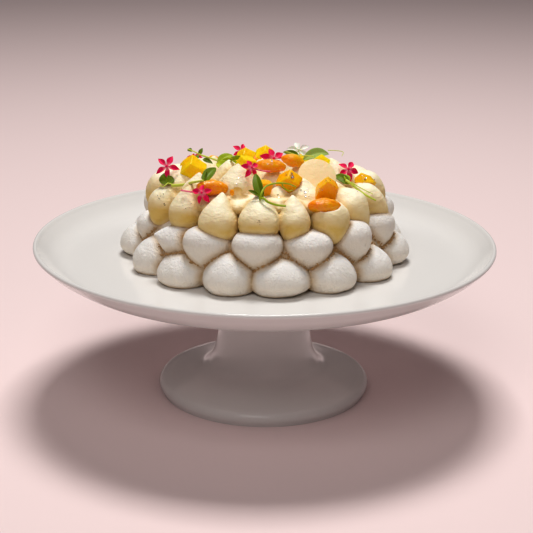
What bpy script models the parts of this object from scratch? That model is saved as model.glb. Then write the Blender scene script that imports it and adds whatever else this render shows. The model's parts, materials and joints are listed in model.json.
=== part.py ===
"""Pavlova of piped meringue and cream kisses, on the porcelain cake stand that it is built with.

Metres, +Z up, front towards -Y. The origin is the centre of the stand's foot, on the table.
An azimuth is counted in degrees from the front, and grows to the right.
"""

import math

import bmesh
import bpy
from mathutils import Euler, Matrix, Vector

# Cake stand
PLATE_RADIUS = 0.160
WELL_RADIUS = 0.132
WELL_TOP = 0.098
PLATE_THICKNESS = 0.0075
RIM_TOP = 0.1116
RIM_HALF = 0.0016
FOOT_RADIUS = 0.0748
FOOT_RING_WIDTH = 0.0055
NECK_RADIUS = 0.031
STAND_STEPS = 34

# Gap that keeps neighbouring pieces from touching
GAP = 0.0003

# Cake
CAKE_CENTRE = Vector((0.0, 0.004, 0.0))
CAKE_FLOOR = WELL_TOP + GAP
SHELL_RADIUS = 0.084
SHELL_TOP = 0.1375
CREAM_RADIUS = 0.071
CREAM_TOP = 0.1560
CREAM_SEAT = 0.006
MERINGUE_SIDES = 9
BRIM_SIDES = 8
CREAM_SIDES = 7
MERINGUE_RINGS = 6
CREAM_RINGS = 5
CORE_SIDES = 20
SHOULDER_SHARE = 0.3

# Kisses: azimuths by row, then what a row's kisses share. half is (along the ring, across it, up).
ROWS = {
    "lower": {
        "azimuths": (-65, -41.5, -16.5, 7, 32, 57, 82, 106, 129, 152, 175, 199, 223, 247, 270),
        "ring": 0.0830, "height": 0.1090, "half": (0.0180, 0.0188, 0.0135),
        "taper": 0.12, "tip": 0.0, "lean": -4, "sides": MERINGUE_SIDES, "rings": MERINGUE_RINGS,
    },
    "upper": {
        "azimuths": (-84, -55, -29, -3.5, 21.5, 46, 73, 102, 131, 161, 191, 219, 248),
        "ring": 0.0762, "height": 0.1245, "half": (0.0180, 0.0176, 0.0148),
        "taper": -0.10, "tip": 0.0, "lean": -4, "sides": MERINGUE_SIDES, "rings": MERINGUE_RINGS,
    },
    "brim": {
        "azimuths": (-95, -71, -47, -24.5, -3, 15.5, 35.5, 53.5, 74, 95, 116, 137, 158, 179, 200, 221, 243),
        "ring": 0.0712, "height": 0.1428, "half": (0.0142, 0.0140, 0.0150),
        "taper": 0.14, "tip": 0.14, "lean": -30, "sides": BRIM_SIDES, "rings": CREAM_RINGS, "back_drop": 0.06,
    },
    "middle": {
        "azimuths": (-75, -49, -25, 10, 29.5, 55, 80, 105, 130, 155, 180, 205, 230, 257),
        "ring": 0.0500, "height": 0.1515, "half": (0.0150, 0.0150, 0.0130),
        "taper": 0.26, "tip": 0.20, "lean": -10, "sides": CREAM_SIDES, "rings": CREAM_RINGS,
        "back_drop": 0.18,
    },
    "inner": {
        "azimuths": (-42, 15, 70, 125, 180, 235, 290),
        "ring": 0.0255, "height": 0.1525, "half": (0.0150, 0.0150, 0.0122),
        "taper": 0.26, "tip": 0.16, "lean": 4, "sides": CREAM_SIDES, "rings": CREAM_RINGS, "back_drop": 0.18,
    },
    "crown": {
        "azimuths": (0,),
        "ring": 0.0, "height": 0.1530, "half": (0.0150, 0.0150, 0.0122),
        "taper": 0.25, "tip": 0.16, "lean": 0, "sides": CREAM_SIDES, "rings": CREAM_RINGS,
    },
}
# Single kisses that plainly differ from their row
OWN = {
    ("lower", 0): {"half": (0.0176, 0.0184, 0.0150), "height": 0.1080},
    ("lower", 2): {"half": (0.0176, 0.0188, 0.0148)},
    ("lower", 3): {"half": (0.0202, 0.0192, 0.0132)},
    ("upper", 0): {"half": (0.0150, 0.0164, 0.0130), "height": 0.1225},
    ("upper", 1): {"half": (0.0150, 0.0168, 0.0128), "height": 0.1215},
    ("upper", 5): {"half": (0.0164, 0.0176, 0.0156)},
    ("brim", 1): {"half": (0.0132, 0.0138, 0.0156), "height": 0.1400},
    ("brim", 2): {"half": (0.0120, 0.0134, 0.0162), "height": 0.1408, "lean": -20},
    ("brim", 3): {"half": (0.0146, 0.0140, 0.0154), "height": 0.1412, "lean": -24},
    ("brim", 4): {"half": (0.0152, 0.0140, 0.0136), "height": 0.1438, "lean": -26},
    ("brim", 5): {"half": (0.0122, 0.0134, 0.0156), "height": 0.1408, "lean": -24},
    ("brim", 6): {"half": (0.0136, 0.0140, 0.0156), "height": 0.1380, "lean": -12},
    ("brim", 7): {"half": (0.0134, 0.0140, 0.0160), "height": 0.1418, "lean": -38},
    ("brim", 8): {"half": (0.0128, 0.0140, 0.0176), "height": 0.1438, "lean": -50},
    ("middle", 0): {"ring": 0.0610, "half": (0.0140, 0.0145, 0.0132), "height": 0.1490},
    ("middle", 1): {"ring": 0.0600, "half": (0.0124, 0.0120, 0.0116), "height": 0.1515},
    ("middle", 2): {"ring": 0.0430, "half": (0.0170, 0.0160, 0.0154), "height": 0.1535, "lean": 2},
    ("middle", 3): {"ring": 0.0510, "half": (0.0126, 0.0124, 0.0108), "height": 0.1475, "lean": -4},
    ("middle", 4): {"ring": 0.0520, "half": (0.0156, 0.0150, 0.0126), "height": 0.1485, "lean": -4},
    ("middle", 5): {"ring": 0.0590, "half": (0.0130, 0.0135, 0.0120), "height": 0.1460},
}
# Hollows left by a spoon: centre and half sizes
SCOOPS = {
    "cup": ((0.0395, -0.0635, 0.1550), (0.0125, 0.0105, 0.0078)),
    "dent": ((-0.0170, -0.0530, 0.1570), (0.0070, 0.0056, 0.0062)),
}

# Fruit and sweets: centre, size, and turn in degrees about X, Y and Z
MANGO = (
    ((-0.0485, -0.0120, 0.1635), (0.0130, 0.0115, 0.0110), (28, 38, 20)),
    ((-0.0135, 0.0080, 0.1670), (0.0105, 0.0095, 0.0090), (38, 36, 10)),
    ((-0.0130, -0.0150, 0.1670), (0.0110, 0.0100, 0.0095), (12, 20, 30)),
    ((-0.0005, 0.0230, 0.1660), (0.0085, 0.0085, 0.0085), (38, 40, 25)),
    ((0.0160, -0.0430, 0.1625), (0.0105, 0.0095, 0.0095), (40, 42, 12)),
    ((-0.0010, -0.0500, 0.1595), (0.0090, 0.0080, 0.0100), (14, 16, 30)),
    ((0.0410, -0.0490, 0.1600), (0.0128, 0.0088, 0.0122), (14, 14, 8)),
    ((0.0385, 0.0060, 0.1630), (0.0090, 0.0090, 0.0085), (38, 38, 15)),
    ((0.0675, -0.0100, 0.1535), (0.0110, 0.0095, 0.0090), (24, 30, 40)),
    ((-0.0370, 0.0580, 0.1490), (0.0125, 0.0110, 0.0105), (32, 24, 50)),
    ((0.0250, 0.0640, 0.1490), (0.0115, 0.0105, 0.0105), (28, 36, 15)),
)
CITRUS = (
    ((-0.0345, -0.0470, 0.1590), (0.0200, 0.0130, 0.0113), (-30, 4, 8)),
    ((0.0035, -0.0290, 0.1695), (0.0195, 0.0125, 0.0110), (-24, 2, 0)),
    ((0.0185, -0.0130, 0.1695), (0.0150, 0.0115, 0.0100), (-22, 10, 20)),
    ((0.0385, -0.0625, 0.1510), (0.0210, 0.0140, 0.0122), (-26, 0, 12)),
    ((-0.0080, 0.0600, 0.1520), (0.0190, 0.0125, 0.0110), (24, 0, 12)),
)
# A cube narrows towards its top, which slants; a segment bends round and thins to its inner edge
CUBE_NARROWING = 0.18
CUBE_SLANT = 0.14
SEGMENT_BEND = 0.5
SEGMENT_THINNING = 0.4
SCOOP_SIDES = 10
SEGMENT_SIDES = 10
DISC_SIDES = 24
DISC = {"centre": (0.0345, -0.0290, 0.1625), "radius": 0.0130, "thickness": 0.0018, "turn": (48, 0, 12)}

# Flowers: centre of the star, its turn in degrees, length of its tube, and its size
FLOWERS = (
    ((-0.0645, -0.0185, 0.1655), (50, 0, 0), 0.003, 1.10),
    ((-0.0415, -0.0555, 0.1593), (60, 0, -60), 0.010, 0.95),
    ((-0.0095, -0.0420, 0.1715), (60, 0, 20), 0.005, 0.90),
    ((0.0065, -0.0080, 0.1700), (35, 0, 40), 0.004, 1.10),
    ((0.0575, -0.0140, 0.1640), (45, 0, 20), 0.003, 1.05),
    ((-0.0210, 0.0170, 0.1692), (60, 0, 20), 0.003, 0.85),
    ((-0.0520, 0.0640, 0.1540), (-50, 0, 20), 0.003, 1.00),
    ((0.0430, 0.0690, 0.1495), (-55, 0, -20), 0.003, 1.00),
)
WHITE_FLOWER = ((0.0225, 0.0210, 0.1672), (35, 0, 20), 0.003, 1.00)
PETAL_LENGTH = 0.0066
PETAL_WIDTH = 0.0032
PETAL_WIDEST = 0.55
FLOWER_THROAT = 0.0013
FLOWER_THICKNESS = 0.0008
TUBE_RADIUS = 0.0007


def clear_scene():
    for obj in list(bpy.data.objects):
        bpy.data.objects.remove(obj)


def make_material(name, colour, roughness):
    material = bpy.data.materials.new(name)
    material.use_nodes = True
    shader = material.node_tree.nodes["Principled BSDF"]
    shader.inputs["Base Color"].default_value = (*colour, 1.0)
    shader.inputs["Roughness"].default_value = roughness
    shader.inputs["Metallic"].default_value = 0.0
    return material


def link_mesh(name, bm, material=None, collection=None):
    mesh = bpy.data.meshes.new(name)
    bmesh.ops.recalc_face_normals(bm, faces=bm.faces)
    bm.to_mesh(mesh)
    bm.free()
    mesh.shade_smooth()
    mesh.set_sharp_from_angle(angle=math.radians(40))
    obj = bpy.data.objects.new(name, mesh)
    (collection or bpy.context.scene.collection).objects.link(obj)
    if material:
        mesh.materials.append(material)
    return obj


def make_cutter(obj):
    obj.hide_render = True
    obj.display_type = "WIRE"


def add_boolean(obj, operation, other, solver="EXACT"):
    modifier = obj.modifiers.new(operation.title(), "BOOLEAN")
    modifier.operation = operation
    modifier.solver = solver
    if isinstance(other, bpy.types.Collection):
        modifier.operand_type = "COLLECTION"
        modifier.collection = other
    else:
        modifier.object = other


def place_matrix(centre, turn):
    angles = [math.radians(angle) for angle in turn]
    return Matrix.Translation(centre) @ Euler(angles).to_matrix().to_4x4()


def on_cake(azimuth, ring, height):
    angle = math.radians(azimuth)
    return CAKE_CENTRE + Vector((ring * math.sin(angle), -ring * math.cos(angle), height))


def arc(centre, radius, start, end, steps):
    angles = [math.radians(start + (end - start) * i / steps) for i in range(steps + 1)]
    return [(centre[0] + radius * math.cos(a), centre[1] + radius * math.sin(a)) for a in angles]


def turned(name, outline, steps):
    """A solid turned about Z from an (x, z) outline that runs down its outer side."""
    bm = bmesh.new()
    points = [bm.verts.new((x, 0.0, z)) for x, z in outline]
    for first, second in zip(points, points[1:]):
        bm.edges.new((first, second))
    mesh = bpy.data.meshes.new(name)
    bm.to_mesh(mesh)
    bm.free()
    obj = bpy.data.objects.new(name, mesh)
    bpy.context.scene.collection.objects.link(obj)
    screw = obj.modifiers.new("Turn", "SCREW")
    screw.axis = "Z"
    screw.steps = steps
    screw.render_steps = steps
    screw.use_merge_vertices = True
    screw.merge_threshold = 0.00001
    screw.use_smooth_shade = True
    return obj


def make_stand(material):
    underside = WELL_TOP - PLATE_THICKNESS
    rim_centre = (PLATE_RADIUS - RIM_HALF, RIM_TOP - RIM_HALF)
    top = [(0.0, WELL_TOP), (0.060, WELL_TOP), (WELL_RADIUS, WELL_TOP), (0.1410, 0.0992), (0.1490, 0.1031)]
    rim = arc(rim_centre, RIM_HALF, 125, -45, 3)
    below = [(0.1510, 0.1010), (0.1400, 0.0940), (0.1280, underside)]
    flare = [(0.0720, underside), (0.0560, 0.0880), (0.0440, 0.0815), (0.0360, 0.0725)]
    neck = [(NECK_RADIUS + 0.0010, 0.0620), (NECK_RADIUS, 0.0530), (NECK_RADIUS + 0.0018, 0.0405)]
    skirt = [(0.0352, 0.0292), (0.0378, 0.0234), (0.0405, 0.0197), (0.0457, 0.0157), (0.0563, 0.0126)]
    edge = arc((FOOT_RADIUS - 0.0048, 0.0042), 0.0048, 75, -28, 3)
    ring = [(FOOT_RADIUS - 0.0012, 0.0), (FOOT_RADIUS - 0.0012 - FOOT_RING_WIDTH, 0.0)]
    hollow = [
        (0.0655, 0.0040), (0.0440, 0.0105), (0.0340, 0.0185),
        (0.0275, 0.0360), (0.0255, 0.0620), (0.0170, 0.0750), (0.0, 0.0800),
    ]
    outline = top + rim + below + flare + neck + skirt + edge + ring + hollow
    stand = turned("cake_stand", outline, STAND_STEPS)
    stand.data.materials.append(material)


def kiss(name, collection, row_name, index, grow=0.0):
    """One piped kiss: a round drop, wider low down or high up by taper, drawn to a tip on top."""
    row = {**ROWS[row_name], **OWN.get((row_name, index), {})}
    half = [side + grow for side in row["half"]]
    bm = bmesh.new()
    bmesh.ops.create_uvsphere(bm, u_segments=row["sides"], v_segments=row["rings"], radius=1.0)
    for vert in bm.verts:
        slim = 1.0 - row["taper"] * vert.co.z
        peak = row["tip"] * max(0.0, 2.0 * vert.co.z - 1.0) ** 2
        vert.co.x *= slim * half[0]
        vert.co.y *= slim * half[1]
        vert.co.z = (vert.co.z + peak) * half[2]
    azimuth = row["azimuths"][index]
    centre = on_cake(azimuth, row["ring"], row["height"])
    centre.z -= row.get("back_drop", 0.0) * max(0.0, centre.y)
    bm.transform(place_matrix(centre, (0, 0, azimuth)) @ place_matrix((0, 0, 0), (row["lean"], 0, 0)))
    obj = link_mesh(name, bm, collection=collection)
    make_cutter(obj)
    return obj


def kisses(collection_name, row_names, grow=0.0):
    collection = bpy.data.collections.new(collection_name)
    bpy.context.scene.collection.children.link(collection)
    for row_name in row_names:
        for index in range(len(ROWS[row_name]["azimuths"])):
            kiss(f"{collection_name}_{row_name}_{index + 1}", collection, row_name, index, grow)
    return collection


def core(name, radius, bottom, top, collection=None):
    """The round block inside a layer, with a rounded shoulder."""
    shoulder = SHOULDER_SHARE * (top - bottom)
    outline = [(0.0, top), (radius - 2.2 * shoulder, top)]
    outline += [(radius - 0.5 * shoulder, top - 0.45 * shoulder), (radius, top - 1.4 * shoulder)]
    outline += [(radius, bottom), (0.0, bottom)]
    obj = turned(name, outline, CORE_SIDES)
    obj.location = CAKE_CENTRE
    if collection:
        bpy.context.scene.collection.objects.unlink(obj)
        collection.objects.link(obj)
        make_cutter(obj)
    return obj


def block(name, collection, low, high):
    """A plain box for cutting, from its lowest to its highest corner."""
    bm = bmesh.new()
    bmesh.ops.create_cube(bm, size=1.0)
    low = Vector(low)
    high = Vector(high)
    size = high - low
    for vert in bm.verts:
        vert.co = Vector(c * s for c, s in zip(vert.co, size)) + (low + high) / 2
    obj = link_mesh(name, bm, collection=collection)
    make_cutter(obj)
    return obj


def scoop(name, collection, centre, half):
    """A round spoon's hollow, for cutting."""
    bm = bmesh.new()
    bmesh.ops.create_uvsphere(bm, u_segments=SCOOP_SIDES, v_segments=6, radius=1.0)
    for vert in bm.verts:
        vert.co = Vector(c * s for c, s in zip(vert.co, half))
    bm.transform(Matrix.Translation(centre))
    make_cutter(link_mesh(name, bm, collection=collection))


def cube_of_fruit(name, centre, size, turn, grow=0.0, material=None, collection=None):
    """A hand-cut cube: one end narrower, and its top cut slanting."""
    bm = bmesh.new()
    bmesh.ops.create_cube(bm, size=1.0)
    for vert in bm.verts:
        narrow = 1.0 - CUBE_NARROWING * (vert.co.z + 0.5)
        vert.co.x *= (size[0] + grow) * narrow
        vert.co.y *= (size[1] + grow) * narrow
        vert.co.z = vert.co.z * (size[2] + grow) + CUBE_SLANT * vert.co.x
    bm.transform(place_matrix(centre, turn))
    return link_mesh(name, bm, material, collection)


def segment_of_citrus(name, centre, size, turn, grow=0.0, material=None, collection=None):
    """A plump segment: a half moon with a thin inner edge."""
    bm = bmesh.new()
    bmesh.ops.create_uvsphere(bm, u_segments=SEGMENT_SIDES, v_segments=SEGMENT_SIDES // 2, radius=0.5)
    for vert in bm.verts:
        x, y, z = vert.co
        vert.co.x = x * (size[0] + grow)
        vert.co.y = (y - SEGMENT_BEND * (x * x - 0.12)) * (size[1] + grow)
        vert.co.z = z * (size[2] + grow) * (1.0 - SEGMENT_THINNING * (y + 0.5))
    bm.transform(place_matrix(centre, turn))
    return link_mesh(name, bm, material, collection)


def sweet_disc(name, grow=0.0, material=None, collection=None):
    bm = bmesh.new()
    radius = DISC["radius"] + grow
    depth = DISC["thickness"] + 2 * grow
    bmesh.ops.create_cone(
        bm, cap_ends=True, segments=DISC_SIDES, radius1=radius, radius2=radius, depth=depth
    )
    bm.transform(place_matrix(DISC["centre"], DISC["turn"]))
    return link_mesh(name, bm, material, collection)


def flower(name, centre, turn, tube, size, material):
    """A flat five-petalled star on a thin tube that runs back from its throat."""
    bm = bmesh.new()
    throat = []
    for petal in range(5):
        between = math.radians(72 * petal + 54)
        radius = FLOWER_THROAT * size
        throat.append(bm.verts.new((radius * math.cos(between), radius * math.sin(between), 0.0)))
    for petal in range(5):
        along = math.radians(72 * petal + 90)
        tip = Vector((math.cos(along), math.sin(along), 0.0)) * PETAL_LENGTH * size
        side = Vector((-math.sin(along), math.cos(along), 0.0)) * PETAL_WIDTH / 2 * size
        corners = [bm.verts.new(place) for place in (PETAL_WIDEST * tip - side, tip, PETAL_WIDEST * tip + side)]
        bm.faces.new([throat[petal], *corners, throat[(petal + 1) % 5]])
    back = bm.faces.new(throat)
    star = bmesh.ops.extrude_face_region(bm, geom=list(bm.faces))
    front = [item for item in star["geom"] if isinstance(item, bmesh.types.BMVert)]
    bmesh.ops.translate(bm, verts=front, vec=(0, 0, FLOWER_THICKNESS))
    bmesh.ops.inset_region(bm, faces=[back], thickness=(FLOWER_THROAT - TUBE_RADIUS) * size)
    stem = bmesh.ops.extrude_face_region(bm, geom=[back, *back.edges])
    end = [item for item in stem["geom"] if isinstance(item, bmesh.types.BMVert)]
    bmesh.ops.translate(bm, verts=end, vec=(0, 0, -tube))
    bm.transform(place_matrix(centre, turn))
    link_mesh(name, bm, material)


def make_meringue(material):
    meringue = core("meringue", SHELL_RADIUS, CAKE_FLOOR - 0.001, SHELL_TOP)
    meringue.data.materials.append(material)
    add_boolean(meringue, "UNION", kisses("shell", ("lower", "upper")))
    under = block("under_shell", None, (-0.2, -0.2, 0.08), (0.2, 0.2, CAKE_FLOOR))
    add_boolean(meringue, "DIFFERENCE", under, "MANIFOLD")


def make_cream(material):
    cream = core("cream", CREAM_RADIUS, SHELL_TOP - CREAM_SEAT, CREAM_TOP)
    cream.data.materials.append(material)
    add_boolean(cream, "UNION", kisses("piped", ("brim", "middle", "inner", "crown")))
    seat = kisses("seat", ("lower", "upper"), grow=2 * GAP)
    core("seat_core", SHELL_RADIUS + GAP, CAKE_FLOOR, SHELL_TOP + GAP, seat)
    for name, (centre, half) in SCOOPS.items():
        scoop(f"scoop_{name}", seat, centre, half)
    for index, (centre, size, turn) in enumerate(MANGO):
        make_cutter(cube_of_fruit(f"mango_seat_{index + 1}", centre, size, turn, 3 * GAP, None, seat))
    for index, (centre, size, turn) in enumerate(CITRUS):
        make_cutter(segment_of_citrus(f"citrus_seat_{index + 1}", centre, size, turn, 3 * GAP, None, seat))
    make_cutter(sweet_disc("disc_seat", GAP, None, seat))
    add_boolean(cream, "DIFFERENCE", seat, "MANIFOLD")


def make_toppings(mango, citrus, chocolate, pink, white):
    for index, (centre, size, turn) in enumerate(MANGO):
        cube_of_fruit(f"mango_{index + 1}", centre, size, turn, material=mango)
    for index, (centre, size, turn) in enumerate(CITRUS):
        segment_of_citrus(f"citrus_{index + 1}", centre, size, turn, material=citrus)
    sweet_disc("chocolate_disc", material=chocolate)
    for index, (centre, turn, tube, size) in enumerate(FLOWERS):
        flower(f"flower_{index + 1}", centre, turn, tube, size, pink)
    flower("flower_white", *WHITE_FLOWER, white)


def main():
    clear_scene()
    make_stand(make_material("porcelain", (0.82, 0.80, 0.79), 0.12))
    make_meringue(make_material("meringue", (0.86, 0.84, 0.82), 0.65))
    make_cream(make_material("cream", (0.90, 0.82, 0.60), 0.45))
    make_toppings(
        make_material("mango", (0.95, 0.52, 0.06), 0.25),
        make_material("citrus", (0.90, 0.32, 0.03), 0.15),
        make_material("white_chocolate", (0.88, 0.76, 0.50), 0.35),
        make_material("pink_petal", (0.72, 0.03, 0.22), 0.55),
        make_material("white_petal", (0.90, 0.90, 0.86), 0.55),
    )


main()
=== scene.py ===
import json
import math
import random

import bmesh
import bpy
from mathutils import Euler, Matrix, Vector, kdtree
from mathutils.bvhtree import BVHTree

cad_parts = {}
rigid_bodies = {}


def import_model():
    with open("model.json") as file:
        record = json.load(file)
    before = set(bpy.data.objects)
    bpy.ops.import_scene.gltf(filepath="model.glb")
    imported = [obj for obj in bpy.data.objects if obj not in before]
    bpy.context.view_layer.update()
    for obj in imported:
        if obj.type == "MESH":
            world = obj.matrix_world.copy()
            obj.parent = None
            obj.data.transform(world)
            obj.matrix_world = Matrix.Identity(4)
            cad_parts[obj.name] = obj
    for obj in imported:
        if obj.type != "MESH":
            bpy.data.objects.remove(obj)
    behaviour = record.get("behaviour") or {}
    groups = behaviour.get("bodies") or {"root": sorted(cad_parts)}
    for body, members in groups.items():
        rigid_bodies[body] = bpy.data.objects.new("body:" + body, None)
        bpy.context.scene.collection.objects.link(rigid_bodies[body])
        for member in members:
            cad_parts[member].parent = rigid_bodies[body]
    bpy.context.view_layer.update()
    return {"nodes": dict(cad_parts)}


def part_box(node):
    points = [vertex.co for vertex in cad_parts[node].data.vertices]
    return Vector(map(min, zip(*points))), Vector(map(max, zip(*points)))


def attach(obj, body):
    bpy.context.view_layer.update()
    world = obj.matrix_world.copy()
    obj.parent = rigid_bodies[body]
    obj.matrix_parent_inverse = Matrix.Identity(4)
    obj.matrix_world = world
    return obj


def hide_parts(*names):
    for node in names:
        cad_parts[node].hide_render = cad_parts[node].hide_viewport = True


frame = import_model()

millimetre = 0.001
weldDistance = 0.000005
scene = bpy.context.scene


# small helpers used all over

def deselectAll():
    if bpy.context.mode != "OBJECT":
        bpy.ops.object.mode_set(mode="OBJECT")
    bpy.ops.object.select_all(action="DESELECT")


def pick(*pieces):
    # the last one becomes the active piece
    deselectAll()
    for piece in pieces:
        piece.select_set(True)
    bpy.context.view_layer.objects.active = pieces[-1]


def named(name):
    # the piece that an operator just added
    piece = bpy.context.active_object
    piece.name = name
    piece.data.name = name
    return piece


def settle(piece):
    # place, turn and size go into the mesh
    pick(piece)
    bpy.ops.object.transform_apply(location=True, rotation=True, scale=True)


def inRadians(angles):
    return [math.radians(angle) for angle in angles]


def turned(degrees, axis):
    return Matrix.Rotation(math.radians(degrees), 4, axis)


def copyOf(source, name):
    piece = source.copy()
    piece.data = source.data.copy()
    piece.name = name
    scene.collection.objects.link(piece)
    return piece


def addModifier(piece, kind, **values):
    modifier = piece.modifiers.new(kind.title(), kind)
    for key, value in values.items():
        setattr(modifier, key, value)


def addSubdivision(piece, levels, kind="CATMULL_CLARK"):
    addModifier(piece, "SUBSURF", subdivision_type=kind, levels=levels, render_levels=levels)


def applyModifiers(piece):
    pick(piece)
    for modifier in list(piece.modifiers):
        bpy.ops.object.modifier_apply(modifier=modifier.name)


def joinAll(pieces, name):
    pick(*pieces)
    if len(pieces) > 1:
        bpy.ops.object.join()
    return named(name)


def throwAway(piece):
    mesh = piece.data
    bpy.data.objects.remove(piece)
    if mesh.users == 0:
        bpy.data.meshes.remove(mesh)


def smooth(piece, angle=None):
    pick(piece)
    if angle is None:
        bpy.ops.object.shade_smooth()
    else:
        bpy.ops.object.shade_smooth_by_angle(angle=math.radians(angle))


def cleanNormals(piece, weld=weldDistance):
    pick(piece)
    bpy.ops.object.mode_set(mode="EDIT")
    bpy.ops.mesh.select_all(action="SELECT")
    bpy.ops.mesh.remove_doubles(threshold=weld)
    bpy.ops.mesh.normals_make_consistent(inside=False)
    bpy.ops.object.mode_set(mode="OBJECT")


def selectOnly(piece, cage, chosen):
    # just these points, in edit mode
    bpy.ops.mesh.select_all(action="DESELECT")
    for vert in chosen:
        vert.select = True
    cage.select_flush(True)
    bmesh.update_edit_mesh(piece.data)


def cloudTexture(name, size, depth=1):
    texture = bpy.data.textures.new(name, "CLOUDS")
    texture.noise_scale = size
    texture.noise_depth = depth
    return texture


def roughen(piece, texture, strength):
    addModifier(
        piece, "DISPLACE", texture=texture, texture_coords="GLOBAL", strength=strength, mid_level=0.5
    )


def finishPiece(piece, material, slot, *nodes):
    piece.data.materials.clear()
    piece.data.materials.append(material)
    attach(piece, "root")
    if nodes:
        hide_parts(*nodes)


# small helpers for materials

def feed(tree, socket, source):
    # a socket takes another one's output, or a plain value
    if isinstance(source, bpy.types.NodeSocket):
        tree.links.new(source, socket)
    else:
        socket.default_value = source


def feedAll(tree, node, sources):
    for key, source in sources.items():
        feed(tree, node.inputs[key.replace("_", " ")], source)


def newMaterial(name, **values):
    material = bpy.data.materials.new(name)
    material.use_nodes = True
    shader = material.node_tree.nodes["Principled BSDF"]
    feedAll(material.node_tree, shader, values)
    return material, material.node_tree, shader


def addNode(tree, kind, **sources):
    node = tree.nodes.new("ShaderNode" + kind)
    feedAll(tree, node, sources)
    return node


def calculate(tree, operation, *sources):
    node = addNode(tree, "Math")
    node.operation = operation
    for socket, source in zip(node.inputs, sources):
        feed(tree, socket, source)
    return node.outputs[0]


def remap(tree, value, fromMin, fromMax, toMin=0.0, toMax=1.0):
    node = addNode(
        tree, "MapRange", Value=value, From_Min=fromMin, From_Max=fromMax, To_Min=toMin, To_Max=toMax
    )
    return node.outputs["Result"]


def mix(tree, factor, first, second, kind="RGBA"):
    node = addNode(tree, "Mix")
    node.data_type = kind
    feedAll(tree, node, {"Factor": factor, "A": first, "B": second})
    return node.outputs["Result"]


def useGroup(tree, group, **sources):
    node = tree.nodes.new("ShaderNodeGroup")
    node.node_tree = group
    feedAll(tree, node, sources)
    return node.outputs


def newGroup(name, inputs, outputs):
    group = bpy.data.node_groups.new(name, "ShaderNodeTree")
    for label, (kind, value) in inputs.items():
        socket = group.interface.new_socket(name=label, in_out="INPUT", socket_type="NodeSocket" + kind)
        socket.default_value = value
    for label, kind in outputs.items():
        group.interface.new_socket(name=label, in_out="OUTPUT", socket_type="NodeSocket" + kind)
    return group, group.nodes.new("NodeGroupInput").outputs, group.nodes.new("NodeGroupOutput")


def makeGrainGroup():
    # fine bumps of two sizes, for anything baked, whipped or fleshy
    group, inside, outside = newGroup(
        "fineGrain",
        {"Size": ("Float", 600.0), "Coarse": ("Float", 0.5), "Stretch": ("Vector", (1.0, 1.0, 1.0))},
        {"Height": "Float", "Mask": "Float"},
    )
    place = addNode(group, "TexCoord").outputs["Object"]
    place = addNode(group, "Mapping", Vector=place, Scale=inside["Stretch"]).outputs["Vector"]
    fine = addNode(group, "TexNoise", Vector=place, Scale=inside["Size"], Detail=3.0, Roughness=0.6)
    larger = calculate(group, "MULTIPLY", inside["Size"], 0.22)
    coarse = addNode(group, "TexNoise", Vector=place, Scale=larger, Detail=2.0, Roughness=0.5)
    height = mix(group, inside["Coarse"], fine.outputs["Fac"], coarse.outputs["Fac"], "FLOAT")
    feedAll(group, outside, {"Height": height, "Mask": coarse.outputs["Fac"]})
    return group


def makeCreaseGroup():
    # painted shade and warm painted bounce light down in the creases, near neighbours and where it rests,
    # unevenly; in the meringue partly its real browning
    group, inside, outside = newGroup(
        "creaseShadeTint",
        {
            "Upper Color": ("Color", (0.9, 0.9, 0.9, 1.0)), "Side Color": ("Color", (0.8, 0.8, 0.8, 1.0)),
            "Warm Color": ("Color", (0.7, 0.6, 0.4, 1.0)), "Crease Color": ("Color", (0.6, 0.4, 0.2, 1.0)),
            "Amount": ("Float", 0.7), "Spread": ("Float", 1.0),
        },
        {"Color": "Color", "Mask": "Float"},
    )
    creaseNode = addNode(group, "Attribute")
    creaseNode.attribute_name = "crease"
    crease = creaseNode.outputs["Fac"]
    place = addNode(group, "TexCoord").outputs["Object"]
    patches = addNode(group, "TexNoise", Vector=place, Scale=90.0, Detail=3.0).outputs["Fac"]
    uneven = remap(group, patches, 0.3, 0.7, 0.4)
    # painted light: paler where it faces up, and painted shade: deeper colour on the sides
    normal = addNode(group, "NewGeometry").outputs["Normal"]
    upward = addNode(group, "SeparateXYZ", Vector=normal).outputs["Z"]
    body = mix(group, remap(group, upward, -0.1, 0.85), inside["Side Color"], inside["Upper Color"])
    warm = mix(group, calculate(group, "MULTIPLY", crease, 0.85), body, inside["Warm Color"])
    narrowed = calculate(group, "POWER", crease, inside["Spread"])
    patchy = calculate(group, "MULTIPLY", narrowed, uneven)
    amount = calculate(group, "MULTIPLY", patchy, inside["Amount"])
    feedAll(group, outside, {"Color": mix(group, amount, warm, inside["Crease Color"]), "Mask": amount})
    return group


def makeVeinGroup():
    # midrib and side veins of a leaf or petal, along its own UV map
    group, inside, outside = newGroup(
        "bladeVeins", {"Side Veins": ("Float", 7.0), "Slant": ("Float", 1.2)},
        {"Vein": "Float", "Midrib": "Float", "Along": "Float"},
    )
    place = addNode(group, "TexCoord").outputs["UV"]
    split = addNode(group, "SeparateXYZ", Vector=place).outputs
    away = calculate(group, "ABSOLUTE", calculate(group, "SUBTRACT", split["X"], 0.5))
    slant = calculate(group, "MULTIPLY", away, inside["Slant"])
    along = calculate(group, "SUBTRACT", split["Y"], slant)
    wave = calculate(group, "PINGPONG", calculate(group, "MULTIPLY", along, inside["Side Veins"]), 0.5)
    sideVein = remap(group, wave, 0.0, 0.14, 1.0, 0.0)
    midrib = remap(group, away, 0.0, 0.07, 1.0, 0.0)
    vein = calculate(group, "MAXIMUM", sideVein, midrib)
    feedAll(group, outside, {"Vein": vein, "Midrib": midrib, "Along": split["Y"]})
    return group


grainGroup = makeGrainGroup()
creaseShadeGroup = makeCreaseGroup()
veinGroup = makeVeinGroup()


def finishShader(tree, shader, colour, height, depth, strength):
    # a colour, and a bump as deep as the depth says
    bump = addNode(tree, "Bump", Strength=strength, Distance=depth, Height=height)
    feedAll(tree, shader, {"Base Color": colour, "Normal": bump.outputs["Normal"]})
    return bump.outputs["Normal"]


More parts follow.
